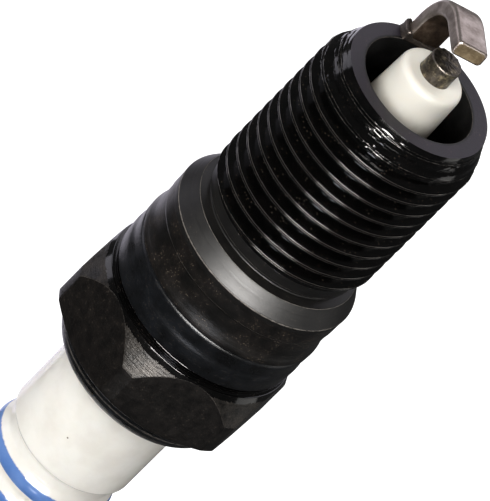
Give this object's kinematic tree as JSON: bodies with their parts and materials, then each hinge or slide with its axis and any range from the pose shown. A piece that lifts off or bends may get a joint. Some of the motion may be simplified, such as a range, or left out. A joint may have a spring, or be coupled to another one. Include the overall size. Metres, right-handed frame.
{
  "type": "spark plug",
  "caption": "Screw-in spark plug with a threaded black shell, conical seat, hexagon, ribbed white ceramic insulator, centre electrode, bent ground electrode and terminal nut.",
  "frame": {"origin": "centre of the conical seat's gauge circle, where the plug meets the cylinder head", "axes": "+Z along the plug's axis toward the firing end; a corner of the hexagon points along -Y; the cable terminal is at -Z"},
  "size_m": [0.0158, 0.0178, 0.0749],
  "materials": {
    "black_oxide_steel": "oiled black oxide",
    "nickel_alloy": "used, brown-grey",
    "weld_metal": "as welded, dark",
    "copper": "drawn",
    "glazed_alumina": "glossy glaze, matt on the nose",
    "plain_steel": "plain",
    "pressed_talc": "pressed powder",
    "conductive_glass": "fused",
    "resistor_mass": "fused",
    "plated_steel": "bright nickel plate"
  },
  "bodies": {
    "plug": {"metal_shell": "black_oxide_steel", "ground_electrode": "nickel_alloy", "ground_electrode_weld": "weld_metal", "centre_electrode": "nickel_alloy", "centre_electrode_core": "copper", "insulator": "glazed_alumina", "insulator_seat_washer": "plain_steel", "lower_packing_ring": "plain_steel", "talc_packing": "pressed_talc", "upper_packing_ring": "plain_steel", "lower_glass_seal": "conductive_glass", "resistor": "resistor_mass", "upper_glass_seal": "conductive_glass", "terminal_stud": "plated_steel"},
    "terminal_nut": {"terminal_nut": "plated_steel"}
  },
  "joints": [
    {"name": "terminal_nut_removal", "type": "slide", "parent": "plug", "child": "terminal_nut", "axis": [0, 0, -1], "range_m": [0, 0.0105]}
  ]
}
